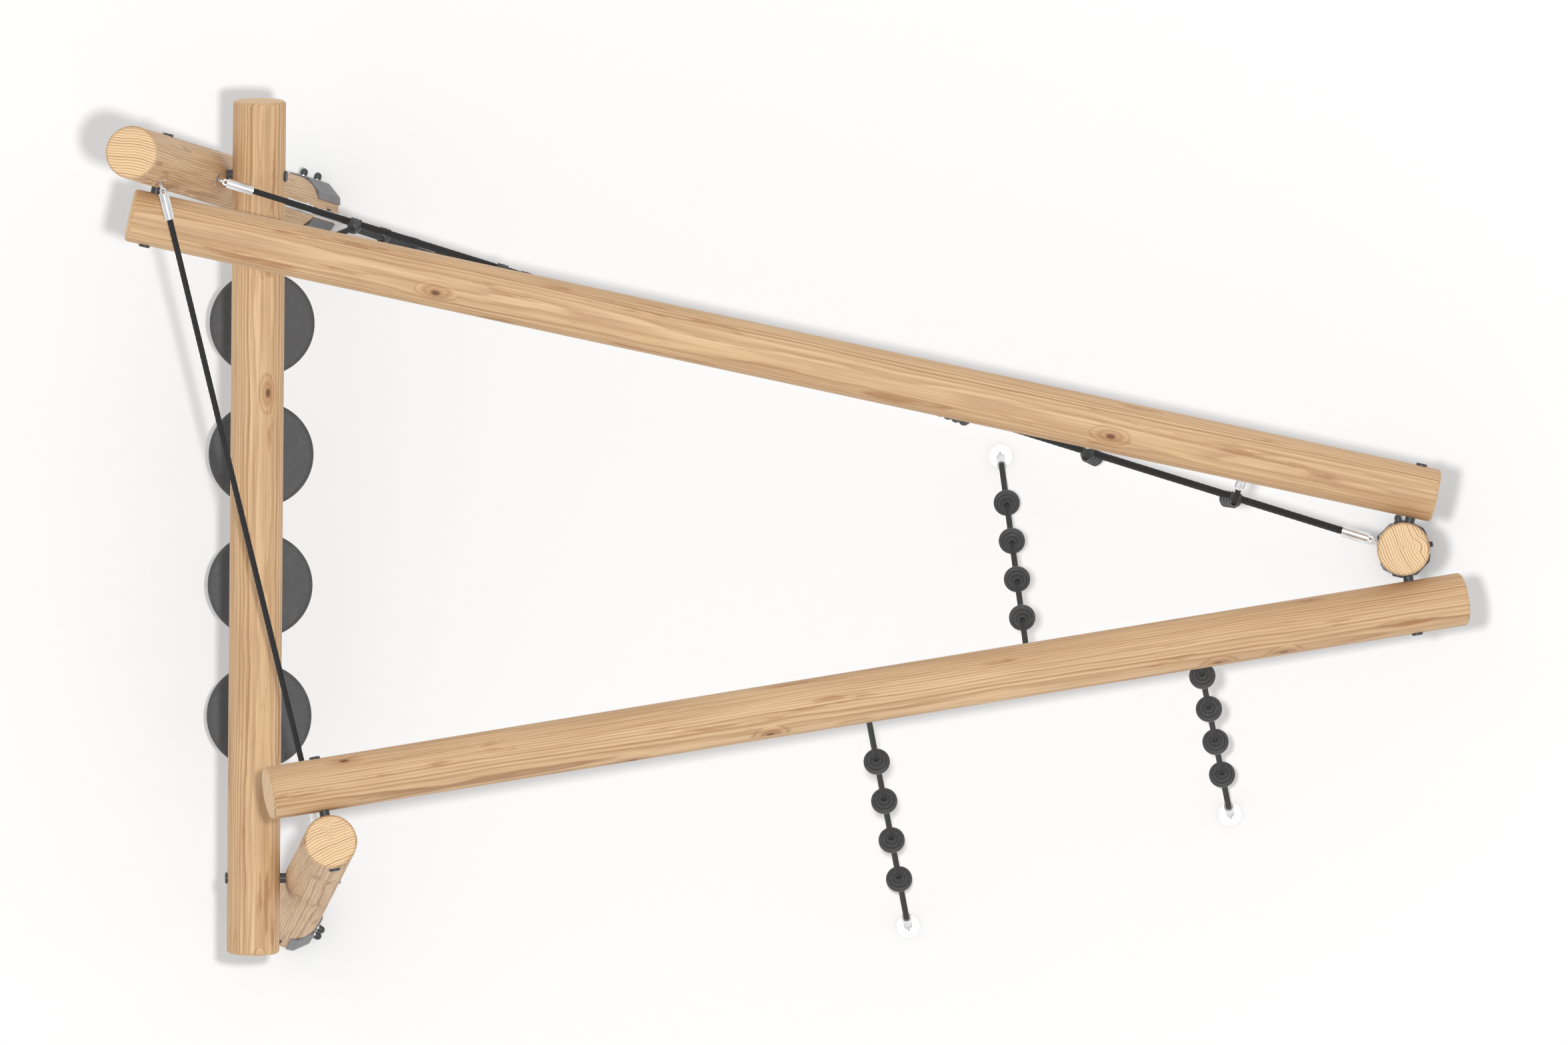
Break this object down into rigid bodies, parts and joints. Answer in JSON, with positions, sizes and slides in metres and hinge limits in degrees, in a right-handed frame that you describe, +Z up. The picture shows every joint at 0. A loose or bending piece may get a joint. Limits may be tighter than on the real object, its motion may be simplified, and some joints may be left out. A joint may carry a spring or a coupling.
{
  "type": "climbing frame",
  "caption": "Playground climbing frame of bolted round timber logs on steel feet, with a rope net, knobbed climbing ropes, a handrail rope and hanging disc steps.",
  "frame": {"origin": "middle of the bounding box in plan, on the ground", "axes": "+X along the long side towards the single post, +Y towards the net's end on the left rear post, +Z up"},
  "size_m": [3.5918, 2.2712, 2.4316],
  "materials": {
    "timber": "smooth debarked softwood, clear oil",
    "dark_steel": "fine textured powder coat",
    "zinc_steel": "zinc plated",
    "bright_steel": "bright stainless",
    "dark_plastic": "moulded nylon",
    "rope": "braided polyamide",
    "knob_rubber": "moulded",
    "disc_rubber": "moulded with fine grip texture"
  },
  "bodies": {
    "frame": {"rear_left_post": "timber", "front_left_post": "timber", "right_post": "timber", "rear_beam": "timber", "front_beam": "timber", "cross_beam": "timber", "rear_left_foot_shell_a": "dark_steel", "rear_left_foot_shell_b": "dark_steel", "front_left_foot_shell_a": "dark_steel", "front_left_foot_shell_b": "dark_steel", "right_foot_shell_a": "dark_steel", "right_foot_shell_b": "dark_steel", "foot_soles": "zinc_steel", "foot_bolts": "zinc_steel", "foot_bolt_washers": "zinc_steel", "beam_bolts": "zinc_steel", "ground_anchors": "zinc_steel", "foot_bolt_caps": "dark_plastic", "beam_bolt_caps": "dark_plastic", "beam_spacers": "dark_plastic", "net_connectors": "dark_plastic", "post_eye_bolts": "bright_steel", "beam_eye_screws": "bright_steel", "rope_terminals": "bright_steel", "handrail_rope": "rope", "net_row_rope_1": "rope", "net_row_rope_2": "rope", "net_row_rope_3": "rope", "net_row_rope_4": "rope", "net_column_rope_1": "rope", "net_column_rope_2": "rope", "net_column_rope_3": "rope", "net_column_rope_4": "rope", "net_column_rope_5": "rope", "net_column_rope_6": "rope", "net_column_rope_7": "rope", "climbing_rope_1": "rope", "climbing_rope_2": "rope", "climbing_rope_3": "rope", "climbing_knobs_1": "knob_rubber", "climbing_knobs_2": "knob_rubber", "climbing_knobs_3": "knob_rubber"},
    "disc_1_link": {"disc_1_shackle": "bright_steel"},
    "disc_1_step": {"disc_1_rope": "rope", "disc_1_fittings": "bright_steel", "disc_1_plate": "disc_rubber"},
    "disc_2_link": {"disc_2_shackle": "bright_steel"},
    "disc_2_step": {"disc_2_rope": "rope", "disc_2_fittings": "bright_steel", "disc_2_plate": "disc_rubber"},
    "disc_3_link": {"disc_3_shackle": "bright_steel"},
    "disc_3_step": {"disc_3_rope": "rope", "disc_3_fittings": "bright_steel", "disc_3_plate": "disc_rubber"},
    "disc_4_link": {"disc_4_shackle": "bright_steel"},
    "disc_4_step": {"disc_4_rope": "rope", "disc_4_fittings": "bright_steel", "disc_4_plate": "disc_rubber"}
  },
  "joints": [
    {"name": "disc_1_swing", "type": "hinge", "parent": "frame", "child": "disc_1_link", "pos_m": [-1.40671, 0.54306, 1.38238], "axis": [0, 1, 0], "range_deg": [-25, 25]},
    {"name": "disc_1_sway", "type": "hinge", "parent": "disc_1_link", "child": "disc_1_step", "pos_m": [-1.40671, 0.54306, 1.35838], "axis": [1, 0, 0], "range_deg": [-2, 2]},
    {"name": "disc_2_swing", "type": "hinge", "parent": "frame", "child": "disc_2_link", "pos_m": [-1.40992, 0.19406, 1.33939], "axis": [0, 1, 0], "range_deg": [-25, 25]},
    {"name": "disc_2_sway", "type": "hinge", "parent": "disc_2_link", "child": "disc_2_step", "pos_m": [-1.40992, 0.19406, 1.31539], "axis": [1, 0, 0], "range_deg": [-2, 2]},
    {"name": "disc_3_swing", "type": "hinge", "parent": "frame", "child": "disc_3_link", "pos_m": [-1.41313, -0.15494, 1.2964], "axis": [0, 1, 0], "range_deg": [-25, 25]},
    {"name": "disc_3_sway", "type": "hinge", "parent": "disc_3_link", "child": "disc_3_step", "pos_m": [-1.41313, -0.15494, 1.2724], "axis": [1, 0, 0], "range_deg": [-2, 2]},
    {"name": "disc_4_swing", "type": "hinge", "parent": "frame", "child": "disc_4_link", "pos_m": [-1.41635, -0.50394, 1.25341], "axis": [0, 1, 0], "range_deg": [-25, 25]},
    {"name": "disc_4_sway", "type": "hinge", "parent": "disc_4_link", "child": "disc_4_step", "pos_m": [-1.41635, -0.50394, 1.22941], "axis": [1, 0, 0], "range_deg": [-2, 2]}
  ]
}
